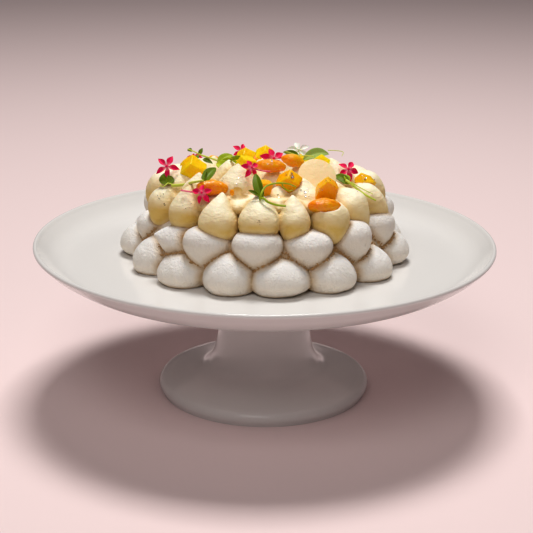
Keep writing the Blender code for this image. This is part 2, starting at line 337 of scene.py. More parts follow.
def plainMaterial(name, colour, grainSize, depth, darker=None, coarse=0.5, strength=0.4, **values):
    # one colour with a faint darker cloud in it
    material, tree, shader = newMaterial(name, **values)
    grain = useGroup(tree, grainGroup, Size=grainSize, Coarse=coarse)
    darker = darker or [c * 0.86 for c in colour[:3]] + [1.0]
    finishShader(tree, shader, mix(tree, grain["Mask"], darker, colour), grain["Height"], depth, strength)
    return material


def pipedMaterial(name, tints, grainValues, wrinkles, strength, **values):
    # baked or whipped: its grain grows coarser towards the creases
    material, tree, shader = newMaterial(name, **values)
    # the crease group paints light on the tops and shade on the sides and in the creases
    tint = useGroup(tree, creaseShadeGroup, **tints)
    grain = useGroup(tree, grainGroup, **grainValues)
    coarser = calculate(tree, "MULTIPLY_ADD", tint["Mask"], wrinkles, 1.0)
    height = calculate(tree, "MULTIPLY", coarser, grain["Height"])
    finishShader(tree, shader, tint["Color"], height, 0.0029, strength)
    return material


def fleshMaterial(name, deep, bright, streak, depth, **values):
    # wet fruit flesh: fibres and a slow change of colour
    material, tree, shader = newMaterial(name, Subsurface_Weight=0.7, **values)
    grain = useGroup(tree, grainGroup, Size=260.0, Coarse=0.5, Stretch=streak)
    tone = mix(tree, remap(tree, grain["Mask"], 0.35, 0.65), deep, bright)
    normal = finishShader(tree, shader, tone, grain["Height"], depth, 0.6)
    feed(tree, shader.inputs["Coat Normal"], normal)
    return material


def bladeMaterial(name, flesh, vein, base, sideVeins, **values):
    # leaf or petal: colour runs from its base outwards, veins over it
    material, tree, shader = newMaterial(name, **values)
    lines = useGroup(tree, veinGroup, Side_Veins=sideVeins)
    body = mix(tree, remap(tree, lines["Along"], 0.02, 0.35), base, flesh)
    veined = mix(tree, calculate(tree, "MULTIPLY", lines["Vein"], 0.5), body, vein)
    finishShader(tree, shader, veined, lines["Vein"], 0.0002, 0.4)
    return material


porcelain = plainMaterial(
    "glazedPorcelain", (0.72, 0.705, 0.69, 1.0), 22.0, 0.0004, darker=(0.69, 0.675, 0.66, 1.0),
    coarse=0.7, strength=0.12, Roughness=0.16, Specular_IOR_Level=0.42,
)
# the upper colour is painted light; the side, warm and crease colours are painted shade, partly the real
# browning of the creases
bakedMeringue = pipedMaterial(
    "bakedMeringue",
    {
        "Upper_Color": (0.84, 0.82, 0.80, 1.0), "Side_Color": (0.84, 0.75, 0.64, 1.0),
        "Warm_Color": (0.85, 0.67, 0.43, 1.0), "Crease_Color": (0.34, 0.155, 0.03, 1.0),
        "Amount": 1.0, "Spread": 1.5,
    },
    {"Size": 700.0, "Coarse": 0.5, "Stretch": (1.2, 1.2, 0.8)}, wrinkles=1.5, strength=0.7,
    Roughness=0.66, Subsurface_Weight=0.15, Subsurface_Scale=0.003, Subsurface_Radius=(1.0, 0.75, 0.55),
    Specular_IOR_Level=0.3,
)
# the pale upper colour is painted light; the deep golden side, warm and crease colours are painted shade
whippedCream = pipedMaterial(
    "whippedCream",
    {
        "Upper_Color": (1.0, 0.91, 0.66, 1.0), "Side_Color": (0.735, 0.48, 0.10, 1.0),
        "Warm_Color": (0.97, 0.78, 0.40, 1.0), "Crease_Color": (0.56, 0.30, 0.04, 1.0),
        "Amount": 0.85, "Spread": 1.7,
    },
    {"Size": 420.0, "Coarse": 0.55, "Stretch": (0.7, 0.7, 1.4)}, wrinkles=0.8, strength=0.65,
    Roughness=0.5, Subsurface_Weight=0.22, Subsurface_Scale=0.004, Subsurface_Radius=(1.0, 0.65, 0.30),
    Specular_IOR_Level=0.4,
)
mangoFlesh = fleshMaterial(
    "mangoFlesh", (1.0, 0.54, 0.001, 1.0), (1.0, 0.70, 0.004, 1.0), (1.0, 1.0, 0.4), 0.0028,
    Roughness=0.4, Subsurface_Scale=0.007, Subsurface_Radius=(1.0, 0.6, 0.05),
    Specular_IOR_Level=0.14, Coat_Weight=0.10, Coat_Roughness=0.10,
)
citrusFlesh = fleshMaterial(
    "syrupCitrus", (1.0, 0.23, 0.001, 1.0), (1.0, 0.44, 0.002, 1.0), (0.6, 1.6, 1.2), 0.0050,
    Roughness=0.30, Subsurface_Scale=0.006, Subsurface_Radius=(1.0, 0.45, 0.03),
    Coat_Weight=0.4, Coat_Roughness=0.05, Specular_IOR_Level=0.12,
)
ripeMango = fleshMaterial(
    "ripeMango", (1.0, 0.34, 0.001, 1.0), (1.0, 0.48, 0.002, 1.0), (1.0, 1.0, 0.4), 0.0028,
    Roughness=0.36, Subsurface_Scale=0.007, Subsurface_Radius=(1.0, 0.55, 0.05),
    Specular_IOR_Level=0.16, Coat_Weight=0.10, Coat_Roughness=0.10,
)
whiteChocolate = plainMaterial(
    "whiteChocolate", (1.0, 0.76, 0.39, 1.0), 420.0, 0.0018,
    Roughness=0.38, Subsurface_Weight=0.2, Subsurface_Scale=0.003,
)
pinkPetal = bladeMaterial(
    "pinkPetal", (0.86, 0.004, 0.085, 1.0), (0.50, 0.001, 0.035, 1.0), (0.95, 0.32, 0.42, 1.0), 5.0,
    Roughness=0.6, Subsurface_Weight=0.1, Subsurface_Scale=0.001, Specular_IOR_Level=0.12,
)
whitePetal = bladeMaterial(
    "whitePetal", (0.88, 0.88, 0.80, 1.0), (0.78, 0.76, 0.62, 1.0), (0.75, 0.78, 0.45, 1.0), 5.0,
    Roughness=0.5, Subsurface_Weight=0.2, Subsurface_Scale=0.001,
)
darkLeaf = bladeMaterial(
    "darkLeaf", (0.105, 0.170, 0.002, 1.0), (0.23, 0.35, 0.012, 1.0), (0.22, 0.32, 0.010, 1.0), 8.0,
    Roughness=0.45, Subsurface_Weight=0.1, Subsurface_Scale=0.001, Specular_IOR_Level=0.14,
)
brightLeaf = bladeMaterial(
    "brightLeaf", (0.29, 0.42, 0.003, 1.0), (0.56, 0.66, 0.03, 1.0), (0.52, 0.60, 0.02, 1.0), 8.0,
    Roughness=0.42, Subsurface_Weight=0.15, Subsurface_Scale=0.001, Specular_IOR_Level=0.16,
)
frostedLeaf = bladeMaterial(
    "frostedLeaf", (0.26, 0.37, 0.07, 1.0), (0.46, 0.55, 0.18, 1.0), (0.32, 0.42, 0.07, 1.0), 8.0,
    Roughness=0.6, Specular_IOR_Level=0.2, Subsurface_Weight=0.2, Subsurface_Scale=0.001,
)
stemGreen = plainMaterial(
    "stemGreen", (0.62, 0.70, 0.08, 1.0), 500.0, 0.0001, Roughness=0.4, Specular_IOR_Level=0.2
)
tendrilGreen = plainMaterial(
    "tendrilGreen", (0.34, 0.46, 0.012, 1.0), 500.0, 0.0001, Roughness=0.4, Specular_IOR_Level=0.2
)
# toasted brown, darkened further as painted shade in the seams
toastedShredSeamShade = plainMaterial("toastedShredSeamShade", (0.46, 0.25, 0.09, 1.0), 900.0, 0.0003, Roughness=0.7)
silverLeaf = plainMaterial(
    "silverLeaf", (0.82, 0.84, 0.88, 1.0), 900.0, 0.0002, Roughness=0.25, Metallic=1.0
)
# dark specks, and painted shade for small holes in the cream
speckAndHoleShade = plainMaterial("speckAndHoleShade", (0.05, 0.025, 0.012, 1.0), 900.0, 0.0002, Roughness=0.6)
print("materials ready")


# the cake stand: one outline, spun

standShape = {
    "plateRadius": 0.160,
    "wellTop": 0.098,
    "underside": 0.0905,
    "rimTop": 0.1116,
    "rimHalf": 0.0016,
    "neckRadius": 0.031,
    "footRadius": 0.0748,
    "spinSteps": 176,
}


def arcPoints(centre, radius, start, end, steps):
    angles = [math.radians(start + (end - start) * i / steps) for i in range(steps + 1)]
    return [(centre[0] + radius * math.cos(a), centre[1] + radius * math.sin(a)) for a in angles]


def throughPoints(points, steps):
    # a smooth curve through given points
    ends = [points[0]] + list(points) + [points[-1]]
    curve = []
    for a, b, c, d in zip(ends, ends[1:], ends[2:], ends[3:]):
        for i in range(steps):
            t = i / steps
            curve.append(tuple(
                0.5 * (2 * q + (r - p) * t + (2 * p - 5 * q + 4 * r - s) * t * t
                       + (3 * q - p - 3 * r + s) * t ** 3)
                for p, q, r, s in zip(a, b, c, d)
            ))
    return curve + [points[-1]]


def standOutline(shape):
    rim = shape["plateRadius"]
    half = shape["rimHalf"]
    low = shape["underside"]
    neck = shape["neckRadius"]
    foot = shape["footRadius"]
    well = shape["wellTop"]
    top = throughPoints([
        (0.0, well), (0.045, well), (0.090, well), (0.118, well), (0.132, well + 0.0002),
        (0.1410, 0.0993), (0.1490, 0.1031), (0.1565, 0.1098),
    ], 5)
    lip = arcPoints((rim - half, shape["rimTop"] - half), half, 125, -45, 8)
    below = throughPoints([
        (0.1560, 0.1056), (0.1510, 0.1010), (0.1400, 0.0942), (0.1280, low + 0.0003), (0.1000, low),
        (0.0720, low - 0.0002), (0.0560, 0.0880), (0.0440, 0.0815), (0.0360, 0.0725),
        (neck + 0.0010, 0.0620), (neck, 0.0530), (neck + 0.0018, 0.0405), (0.0352, 0.0292),
        (0.0378, 0.0234), (0.0405, 0.0197), (0.0457, 0.0157), (0.0563, 0.0126), (0.0665, 0.0102),
    ], 4)
    edge = arcPoints((foot - 0.0050, 0.0050), 0.0050, 68, -32, 8)
    inside = throughPoints([
        (0.0680, 0.0), (0.0655, 0.0040), (0.0440, 0.0105), (0.0340, 0.0185),
        (0.0275, 0.0360), (0.0255, 0.0620), (0.0170, 0.0750), (0.0, 0.0800),
    ], 4)
    return top + lip + below + edge + [(foot - 0.0018, 0.0)] + inside


def makeStand(shape):
    outline = standOutline(shape)
    deselectAll()
    bpy.ops.mesh.primitive_plane_add(size=0.001)
    stand = named("porcelainStand")
    bpy.ops.object.mode_set(mode="EDIT")
    bpy.ops.mesh.merge(type="CENTER")
    bpy.ops.transform.translate(value=(outline[0][0], 0, outline[0][1]))
    for (x, z), (nextX, nextZ) in zip(outline, outline[1:]):
        bpy.ops.mesh.extrude_region_move(TRANSFORM_OT_translate={"value": (nextX - x, 0, nextZ - z)})
    bpy.ops.mesh.select_all(action="SELECT")
    bpy.ops.mesh.spin(steps=shape["spinSteps"], angle=math.tau, center=(0, 0, 0), axis=(0, 0, 1))
    bpy.ops.object.mode_set(mode="OBJECT")
    cleanNormals(stand)
    smooth(stand, 50)
    finishPiece(stand, porcelain, "porcelain", "cake_stand")


makeStand(standShape)
print("stand spun")


# piped kisses

# outlines are (radius, height) of each ring of a unit kiss, bottom to top
lowKiss = [
    (0, -1.00), (0.46, -0.97), (0.78, -0.83), (0.96, -0.56), (1.0, -0.24), (0.95, 0.07), (0.84, 0.34),
    (0.69, 0.57), (0.52, 0.76), (0.34, 0.89), (0.18, 0.97), (0.07, 1.00), (0, 1.01),
]
highKiss = [
    (0, -1.12), (0.24, -1.06), (0.47, -0.90), (0.68, -0.65), (0.85, -0.35), (0.96, -0.03), (1.0, 0.26),
    (0.95, 0.53), (0.80, 0.77), (0.57, 0.92), (0.31, 0.99), (0.12, 1.01), (0, 1.01),
]
dropKiss = [
    (0, -1.00), (0.44, -0.97), (0.77, -0.82), (0.96, -0.52), (1.0, -0.16), (0.94, 0.17), (0.81, 0.46),
    (0.63, 0.72), (0.44, 0.94), (0.27, 1.12), (0.14, 1.25), (0.06, 1.33), (0, 1.35),
]
ballKiss = [
    (0, -1.06), (0.30, -1.00), (0.57, -0.84), (0.79, -0.58), (0.94, -0.26), (1.0, 0.08), (0.96, 0.38),
    (0.84, 0.65), (0.65, 0.87), (0.44, 1.03), (0.24, 1.14), (0.09, 1.19), (0, 1.20),
]
eggKiss = [
    (0, -1.17), (0.24, -1.10), (0.48, -0.92), (0.70, -0.64), (0.88, -0.30), (0.98, 0.05), (0.97, 0.36),
    (0.84, 0.66), (0.63, 0.91), (0.41, 1.09), (0.21, 1.21), (0.08, 1.27), (0, 1.28),
]
pearKiss = [
    (0, -1.17), (0.24, -1.10), (0.48, -0.92), (0.70, -0.64), (0.88, -0.30), (0.98, 0.05), (0.92, 0.36),
    (0.76, 0.66), (0.56, 0.94), (0.36, 1.17), (0.19, 1.33), (0.07, 1.42), (0, 1.44),
]

cakeCentre = Vector((0.0, 0.004, 0.0))
# a row's kisses share its values, and a single kiss may have its own under "own"
meringueRows = {
    "lower": {
        "outline": lowKiss, "ring": 0.0832, "height": 0.1090, "half": (0.0192, 0.0185, 0.0125), "lean": -3,
        "azimuths": [-62.5, -39.5, -15.5, 7, 30.5, 55.5, 81, 106, 129, 152, 175, 199, 223, 247, 270],
        "own": {
            0: {"half": (0.0180, 0.0172, 0.0140), "height": 0.1080, "ring": 0.0815},
            1: {"half": (0.0187, 0.0180, 0.0125), "height": 0.1075},
            2: {"half": (0.0183, 0.0185, 0.0138), "height": 0.1090},
            3: {"half": (0.0208, 0.0190, 0.0122), "height": 0.1085},
            4: {"half": (0.0188, 0.0185, 0.0130), "height": 0.1085},
            5: {"half": (0.0184, 0.0180, 0.0130), "height": 0.1070},
        },
    },
    "upper": {
        "outline": highKiss, "ring": 0.0765, "height": 0.1245, "half": (0.0170, 0.0170, 0.0138), "lean": -4,
        "azimuths": [-79, -46, -29, -3.5, 21.5, 46, 73, 102, 131, 161, 191, 219, 248],
        "own": {
            0: {"half": (0.0150, 0.0160, 0.0125), "height": 0.1200, "ring": 0.0745},
            1: {
                "outline": dropKiss, "half": (0.0108, 0.0150, 0.0128), "height": 0.1238, "ring": 0.0785,
                "side": -84, "twist": 50,
            },
            2: {"half": (0.0170, 0.0170, 0.0136), "height": 0.1235},
            3: {"half": (0.0174, 0.0172, 0.0138), "height": 0.1245},
            4: {"half": (0.0168, 0.0172, 0.0130), "height": 0.1235},
            5: {"half": (0.0158, 0.0172, 0.0146), "height": 0.1240},
            6: {"half": (0.0155, 0.0165, 0.0140), "height": 0.1235},
        },
    },
}
creamRows = {
    "brim": {
        "outline": eggKiss, "ring": 0.0715, "height": 0.1425, "half": (0.0135, 0.0135, 0.0128), "lean": -30,
        "azimuths": [-95, -71, -47, -24.5, -3, 15.5, 35.5, 53.5, 74, 95, 116, 137, 158, 179, 200, 221, 243],
        "backDrop": 0.06,
        "own": {
            1: {"half": (0.0126, 0.0135, 0.0130), "height": 0.1390, "lean": -28, "outline": pearKiss},
            2: {"half": (0.0118, 0.0130, 0.0138), "height": 0.1400, "lean": -14, "outline": pearKiss},
            3: {"half": (0.0144, 0.0136, 0.0138), "height": 0.1402, "lean": -16, "outline": dropKiss},
            4: {"half": (0.0146, 0.0136, 0.0124), "height": 0.1430, "lean": -26, "outline": dropKiss},
            5: {"half": (0.0118, 0.0130, 0.0134), "height": 0.1396, "lean": -14, "outline": pearKiss},
            6: {
                "half": (0.0132, 0.0136, 0.0140), "height": 0.1386, "lean": -14, "outline": ballKiss,
                "ring": 0.0738,
            },
            7: {"half": (0.0128, 0.0136, 0.0140), "height": 0.1415, "lean": -38},
            8: {"half": (0.0122, 0.0136, 0.0140), "height": 0.1408, "lean": -58, "ring": 0.0725},
            9: {"half": (0.0128, 0.0136, 0.0134), "height": 0.1430, "lean": -40},
        },
    },
    "middle": {
        "outline": dropKiss, "ring": 0.0500, "height": 0.1515, "half": (0.0145, 0.0145, 0.0118),
        "lean": -10, "backDrop": 0.18,
        "azimuths": [-75, -49, -25, 10, 29.5, 55, 80, 105, 130, 155, 180, 205, 230, 257],
        "own": {
            0: {"ring": 0.0610, "half": (0.0135, 0.0140, 0.0120), "height": 0.1490},
            1: {"ring": 0.0600, "half": (0.0120, 0.0115, 0.0105), "height": 0.1515},
            2: {"ring": 0.0430, "half": (0.0165, 0.0155, 0.0140), "height": 0.1535, "lean": 2},
            3: {"ring": 0.0510, "half": (0.0122, 0.0120, 0.0098), "height": 0.1475, "lean": -4},
            4: {"ring": 0.0520, "half": (0.0152, 0.0145, 0.0115), "height": 0.1485, "lean": -4},
            5: {"ring": 0.0590, "half": (0.0125, 0.0130, 0.0110), "height": 0.1455},
        },
    },
    "inner": {
        "outline": dropKiss, "ring": 0.0255, "height": 0.1530, "half": (0.0145, 0.0145, 0.0112),
        "azimuths": [-42, 15, 70, 125, 180, 235, 290], "lean": 4, "backDrop": 0.18, "own": {},
    },
    "crown": {
        "outline": dropKiss, "ring": 0.0, "height": 0.1530, "half": (0.0145, 0.0145, 0.0112),
        "azimuths": [0], "lean": 0, "own": {},
    },
}
# squashed balls that fill the middle between the kisses: centre, half sizes and lean in degrees
fillings = {
    "meringueFoot": ((0, 0.004, 0.1045), (0.0880, 0.0880, 0.0160)),
    "meringueKisses": ((0, 0.004, 0.1125), (0.0845, 0.0845, 0.0330)),
    "creamKisses": ((0, 0.004, 0.1385), (0.0715, 0.0715, 0.0130), -9),
}
kissFinish = {"sides": 16, "lumps": 0.0020, "dimples": 0.00045, "unevenLean": 3}
lumps = cloudTexture("lumps", 0.016)
dimples = cloudTexture("dimples", 0.0045, 2)
fraying = cloudTexture("fraying", 0.0018, 2)


def kissPattern(name, outline):
    # a sphere whose rings are scaled and moved onto the outline
    deselectAll()
    rings = len(outline) - 1
    bpy.ops.mesh.primitive_uv_sphere_add(segments=kissFinish["sides"], ring_count=rings, radius=1.0)
    pattern = named(name)
    bpy.ops.object.mode_set(mode="EDIT")
    cage = bmesh.from_edit_mesh(pattern.data)
    for index, (radius, height) in enumerate(outline):
        z = -math.cos(math.pi * index / rings)
        ring = [vert for vert in cage.verts if abs(vert.co.z - z) < 0.001 and not vert.tag]
        for vert in ring:
            vert.tag = True
        selectOnly(pattern, cage, ring)
        if 0 < index < rings:
            grow = radius / math.sin(math.pi * index / rings)
            bpy.ops.transform.resize(value=(grow, grow, 1), center_override=(0, 0, z))
        bpy.ops.transform.translate(value=(0, 0, height - z))
    bpy.ops.object.mode_set(mode="OBJECT")
    return pattern


def pipeRow(rowName, row, dice, group):
    # one pattern for each outline, copied, placed and roughened for every kiss
    patterns = {}
    for index, azimuth in enumerate(row["azimuths"]):
        kissValues = {**row, **row["own"].get(index, {})}
        outline = kissValues["outline"]
        if id(outline) not in patterns:
            patterns[id(outline)] = kissPattern(rowName + "Pattern", outline)
        angle = math.radians(azimuth)
        ring = kissValues["ring"]
        place = cakeCentre + Vector((ring * math.sin(angle), -ring * math.cos(angle), kissValues["height"]))
        place.z -= row.get("backDrop", 0.0) * max(0.0, place.y)
        lean = kissValues["lean"] + dice.uniform(-kissFinish["unevenLean"], kissFinish["unevenLean"])
        kiss = copyOf(patterns[id(outline)], f"{rowName}Kiss{index + 1}")
        # spun at random, squashed to its half sizes, leant, then turned to face outwards
        kiss.matrix_world = (
            Matrix.Translation(place) @ turned(azimuth + kissValues.get("twist", 0), "Z")
            @ turned(lean, "X") @ turned(kissValues.get("side", 0), "Y")
            @ Matrix.Diagonal((*kissValues["half"], 1.0))
            @ Matrix.Rotation(dice.uniform(0, math.tau), 4, "Z")
        )
        settle(kiss)
        addSubdivision(kiss, 2)
        roughen(kiss, lumps, kissFinish["lumps"])
        roughen(kiss, dimples, kissFinish["dimples"])
        applyModifiers(kiss)
        moveTo(kiss, group)
    for pattern in patterns.values():
        throwAway(pattern)


def ball(name, centre, half, lean=0, segments=96, rings=48):
    # squashed to its half sizes and leant about X
    deselectAll()
    bpy.ops.mesh.primitive_uv_sphere_add(
        segments=segments, ring_count=rings, radius=1.0, location=centre,
    )
    piece = named(name)
    piece.scale = half
    piece.rotation_euler.x = math.radians(lean)
    settle(piece)
    return piece


def moveTo(piece, group):
    for home in list(piece.users_collection):
        home.objects.unlink(piece)
    group.objects.link(piece)


def newCollection(name):
    group = bpy.data.collections.new(name)
    scene.collection.children.link(group)
    return group


def combine(piece, group, operation="UNION"):
    # joined with all of the group, or cut by it, and the group is thrown away
    addModifier(
        piece, "BOOLEAN", operation=operation, operand_type="COLLECTION", collection=group,
        solver="MANIFOLD",
    )
    applyModifiers(piece)
    for used in list(group.objects):
        throwAway(used)
    bpy.data.collections.remove(group)


def dropScraps(piece):
    # a Boolean can leave a stray open scrap far smaller than a grain
    piece.data.validate()
    pick(piece)
    bpy.ops.object.mode_set(mode="EDIT")
    bpy.ops.mesh.select_mode(type="VERT")
    bpy.ops.mesh.select_all(action="DESELECT")
    bpy.ops.mesh.select_non_manifold()
    bpy.ops.mesh.delete(type="VERT")
    bpy.ops.object.mode_set(mode="OBJECT")


# how far a crease's painted shade reaches, how near a neighbour must come to cast painted shade on it and how
# deep its fraying is
creaseShapes = {
    "cream": {"reach": 0.0052, "contact": 0.0042, "fray": 0.0005},
    "meringue": {"reach": 0.0062, "contact": 0.0030, "fray": 0.0018},
}
# an edge is a crease past this angle in radians, and the web in it starts at this nearness
creaseAngle = 0.35
webStart = 0.3


def markCreases(piece, neighbour, shape):
    # stores how near each point is to a crease, a neighbour or the plate, from 1 in it to 0 at its reach: the
    # mask of the painted shade and the coarser grain
    reach, contact = shape["reach"], shape["contact"]
    cage = bmesh.new()
    cage.from_mesh(piece.data)
    seams = []
    for edge in cage.edges:
        if edge.is_manifold and edge.calc_face_angle_signed(0.0) < -creaseAngle:
            start, end = (vert.co for vert in edge.verts)
            seams.append(((start + end) / 2, (end - start).normalized()))
    tree = kdtree.KDTree(len(seams))
    for index, (place, _) in enumerate(seams):
        tree.insert(place, index)
    tree.balance()
    nearness = []
    web = piece.vertex_groups.new(name="web")
    for vert in cage.verts:
        near = 1.0 - tree.find(vert.co)[2] / reach
        if near > webStart:
            web.add([vert.index], min(1.0, (near - webStart) * 1.4), "REPLACE")
        # painted shade where a neighbour lies close
        touching = neighbour.find_nearest(vert.co, contact)[3]
        if touching is not None:
            near = max(near, 1.0 - touching / contact)
        # painted shade where it rests on the plate
        near = max(near, 1.0 - (vert.co.z - standShape["wellTop"]) / contact)
        nearness.append(max(0.0, near))
    cage.free()
    layer = piece.data.attributes.new("crease", "FLOAT", "POINT")
    layer.data.foreach_set("value", nearness)
    # the creases are filled a little where the kisses baked together, and frayed
    addModifier(piece, "SMOOTH", factor=0.7, iterations=8, vertex_group="web")
    addModifier(
        piece, "DISPLACE", texture=fraying, texture_coords="GLOBAL", strength=shape["fray"],
        mid_level=0.35, vertex_group="web",
    )
    applyModifiers(piece)
    return seams


# left by a spoon in the cream: centre and half sizes
spoonHollows = {
    "cupHollow": ((0.0390, -0.0610, 0.1560), (0.0130, 0.0110, 0.0085)),
    "dentHollow": ((-0.0172, -0.0530, 0.1570), (0.0070, 0.0056, 0.0062)),
}


def pipeLayer(rows, seed, groupName):
    dice = random.Random(seed)
    group = newCollection(groupName)
    for rowName, row in rows.items():
        pipeRow(rowName, row, dice, group)
    return group


def makeMeringue():
    group = pipeLayer(meringueRows, 11, "meringueGroup")
    moveTo(ball("meringueFoot", *fillings["meringueFoot"]), group)
    meringue = ball("meringueKisses", *fillings["meringueKisses"])
    combine(meringue, group)
    # flat where it rests on the plate, a hair above the glaze
    underside = newCollection("undersideGroup")
    size, gap = 0.4, 0.0003
    deselectAll()
    bpy.ops.mesh.primitive_cube_add(size=size, location=(0, 0, standShape["wellTop"] + gap - size / 2))
    moveTo(named("plateBlock"), underside)
    combine(meringue, underside, "DIFFERENCE")
    dropScraps(meringue)
    smooth(meringue)
    finishPiece(meringue, bakedMeringue, "meringue", "meringue")
    return meringue


def makeCream():
    group = pipeLayer(creamRows, 23, "creamGroup")
    cream = ball("creamKisses", *fillings["creamKisses"])
    combine(cream, group)
    hollows = newCollection("hollowGroup")
    for name, (centre, half) in spoonHollows.items():
        hollow = ball(name, centre, half)
        roughen(hollow, dimples, 0.0010)
        applyModifiers(hollow)
        moveTo(hollow, hollows)
    combine(cream, hollows, "DIFFERENCE")
    dropScraps(cream)
    smooth(cream)
    finishPiece(cream, whippedCream, "cream", "cream")
    return cream


meringue = makeMeringue()
print("meringue piped:", len(meringue.data.polygons), "faces")
cream = makeCream()
print("cream piped:", len(cream.data.polygons), "faces")


def surfaceOf(piece):
    return BVHTree.FromObject(piece, bpy.context.evaluated_depsgraph_get())


creamSurface = surfaceOf(cream)
markCreases(cream, surfaceOf(meringue), creaseShapes["cream"])
meringueSeams = markCreases(meringue, creamSurface, creaseShapes["meringue"])
print("creases marked")

# toasted shreds across the seams between the two rows of meringue, darkened further as painted seam shade
shredValues = {
    "count": 1500, "lowest": 0.1120, "highest": 0.1240, "nearest": 0.072, "steepest": 0.85,
    "long": 0.0024, "thin": 0.00055, "outwards": 0.7, "slide": 0.0006, "lift": 0.0001,
}


def makeShreds(values):
    dice = random.Random(19)
    meringueSurface = surfaceOf(meringue)
    between = [
        (place, -along if along.z < 0 else along) for place, along in meringueSeams
        if values["lowest"] < place.z < values["highest"] and abs(along.z) < values["steepest"]
        and (place - cakeCentre).to_2d().length > values["nearest"]
    ]
    # in a fixed order, because the Boolean's edges may come in another one each time
    between.sort(key=lambda seam: [round(value, 5) for value in seam[0]])
    deselectAll()
    bpy.ops.mesh.primitive_ico_sphere_add(subdivisions=1, radius=1)
    pattern = named("shredPattern")
    shreds = []
    for place, along in dice.sample(between, min(values["count"], len(between))):
        place, normal, _, _ = meringueSurface.find_nearest(place)
        across = normal.cross(along).normalized() + normal * dice.uniform(0.0, values["outwards"])
        shred = copyOf(pattern, "shred")
        grow = dice.uniform(0.5, 1.3)
        long = values["long"] * grow
        thin = values["thin"] * grow
        turn = across.to_track_quat("X", "Z").to_matrix().to_4x4()
        place = place + normal * values["lift"] + along * dice.uniform(-values["slide"], values["slide"])
        shred.data.transform(Matrix.Translation(place) @ turn @ Matrix.Diagonal((long, thin, thin, 1.0)))
        shreds.append(shred)
    throwAway(pattern)
    shreds = joinAll(shreds, "meringueShreds")
    smooth(shreds)
    finishPiece(shreds, toastedShredSeamShade, "meringue")


makeShreds(shredValues)
print("shreds laid")


# fruit: cut cubes of mango and syrupy segments of citrus

mangoGrow = {"mango_1": 1.12, "mango_5": 1.18, "mango_7": 1.08, "mango_9": 1.08}
ripePieces = ("mango_5", "mango_6", "mango_7", "mango_9", "mango_10")
mangoCuts = {"count": 11, "knifeCuts": 3, "keep": (0.80, 0.92), "bevel": 0.0006, "wobble": 0.0010}
# cuts that give a piece its outline: the way each faces, and how far from the middle it lies
mangoOutlines = {
    "mango_7": [((-0.66, -0.15, 0.73), 0.0050), ((0.66, -0.15, 0.75), 0.0058)],
    "mango_1": [((0.55, -0.45, 0.70), 0.0066), ((-0.75, -0.30, 0.60), 0.0068)],
    "mango_9": [((0.30, -0.50, 0.80), 0.0052)],
}


def middleOf(nodeName):
    low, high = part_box(nodeName)
    return (low + high) / 2


def knife(middle, facing, distance):
    # in edit mode, takes away what lies past a plane and closes the cut
    facing = Vector(facing).normalized()
    bpy.ops.mesh.select_all(action="SELECT")
    bpy.ops.mesh.bisect(
        plane_co=middle + facing * distance, plane_no=facing, clear_outer=True, use_fill=True
    )


def makeMango(index, values, dice):
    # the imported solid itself, welded, trimmed by a few more cuts and softened at its corners
    nodeName = f"mango_{index}"
    piece = bpy.data.objects.new(f"mangoPiece{index}", frame["nodes"][nodeName].data.copy())
    scene.collection.objects.link(piece)
    cleanNormals(piece)
    middle = middleOf(nodeName)
    bpy.ops.object.mode_set(mode="EDIT")
    bpy.ops.mesh.select_all(action="SELECT")
    bpy.ops.mesh.dissolve_limited(angle_limit=math.radians(2))
    grow = mangoGrow.get(nodeName, 1.0)
    bpy.ops.transform.resize(value=(grow, grow, grow), center_override=middle)
    for facing, distance in mangoOutlines.get(nodeName, []):
        knife(middle, facing, distance)
    for _ in range(values["knifeCuts"]):
        facing = Vector((dice.uniform(-1, 1), dice.uniform(-1, 1), dice.uniform(-0.6, 1))).normalized()
        corners = [vert.co for vert in bmesh.from_edit_mesh(piece.data).verts]
        reach = max((corner - middle).dot(facing) for corner in corners)
        knife(middle, facing, reach * dice.uniform(*values["keep"]))
    bpy.ops.mesh.select_all(action="SELECT")
    bpy.ops.mesh.normals_make_consistent(inside=False)
    bpy.ops.object.mode_set(mode="OBJECT")
    addModifier(piece, "BEVEL", width=values["bevel"], segments=3, limit_method="ANGLE")
    addModifier(piece, "TRIANGULATE")
    addSubdivision(piece, 3, "SIMPLE")
    roughen(piece, dimples, values["wobble"])
    applyModifiers(piece)
    smooth(piece, 40)
    finishPiece(piece, ripeMango if nodeName in ripePieces else mangoFlesh, "mango", nodeName)


mangoDice = random.Random(41)
for index in range(1, mangoCuts["count"] + 1):
    makeMango(index, mangoCuts, mangoDice)

# turn in degrees, and size along, across and up
citrusSegments = {
    "citrus_1": {"turn": (-30, 4, 6), "size": (0.0200, 0.0118, 0.0092)},
    "citrus_2": {"turn": (-16, 2, 0), "size": (0.0200, 0.0112, 0.0084)},
    "citrus_3": {"turn": (-14, 18, 18), "size": (0.0160, 0.0110, 0.0080)},
    "citrus_4": {"turn": (-22, 0, 6), "size": (0.0208, 0.0118, 0.0096), "shift": (0, 0.0040, -0.0006)},
    "citrus_5": {"turn": (22, 0, 12), "size": (0.0200, 0.0125, 0.0110)},
}
citrusFinish = {"lumps": 0.0030, "dimples": 0.0018}


def segmentPattern():
    # a ball with blunter ends that bend down
    deselectAll()
    bpy.ops.mesh.primitive_uv_sphere_add(
        segments=24, ring_count=14, radius=0.5, rotation=(0, math.pi / 2, 0),
    )
    pattern = named("citrusPattern")
    settle(pattern)
    bpy.ops.object.mode_set(mode="EDIT")
    cage = bmesh.from_edit_mesh(pattern.data)
    for side in (-1, 1):
        for reach, fuller in ((0.28, 1.06), (0.42, 1.08)):
            selectOnly(pattern, cage, [vert for vert in cage.verts if vert.co.x * side > reach])
            bpy.ops.transform.resize(value=(1.0, fuller, fuller), center_override=(0, 0, 0))
            bpy.ops.transform.translate(value=(0, 0, -0.02))
    bpy.ops.object.mode_set(mode="OBJECT")
    return pattern


